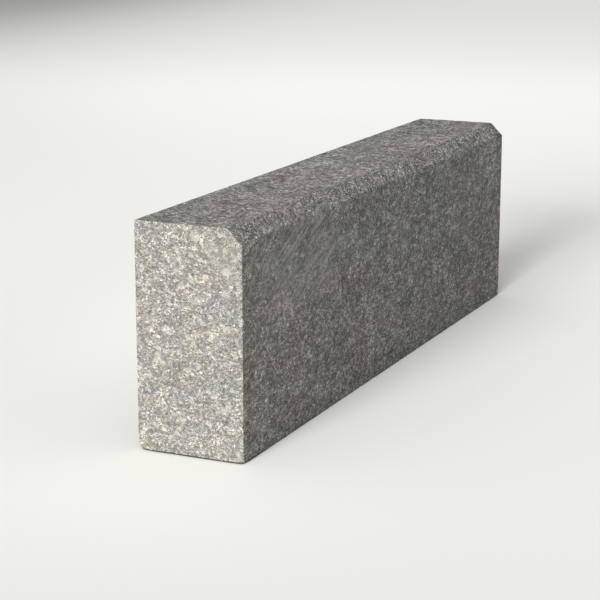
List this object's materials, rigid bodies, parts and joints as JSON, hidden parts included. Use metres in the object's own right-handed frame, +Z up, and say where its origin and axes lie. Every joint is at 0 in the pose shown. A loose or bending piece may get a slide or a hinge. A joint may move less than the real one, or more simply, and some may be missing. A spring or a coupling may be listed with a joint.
{
  "type": "granite kerb stone",
  "caption": "Straight rectangular granite kerb stone with one bevelled long top edge; borders a road or footway.",
  "frame": {"origin": "middle of the bed (bottom) face, on the ground the stone stands on", "axes": "+X along the stone, +Z up, -Y towards the road: the long face with the bevel along its top edge"},
  "size_m": [1, 0.15, 0.3],
  "materials": {
    "granite": "sawn and flamed, matt, fine speckled grey with cream and pinkish grains"
  },
  "bodies": {
    "root": {"kerb_stone": "granite"}
  },
  "joints": []
}
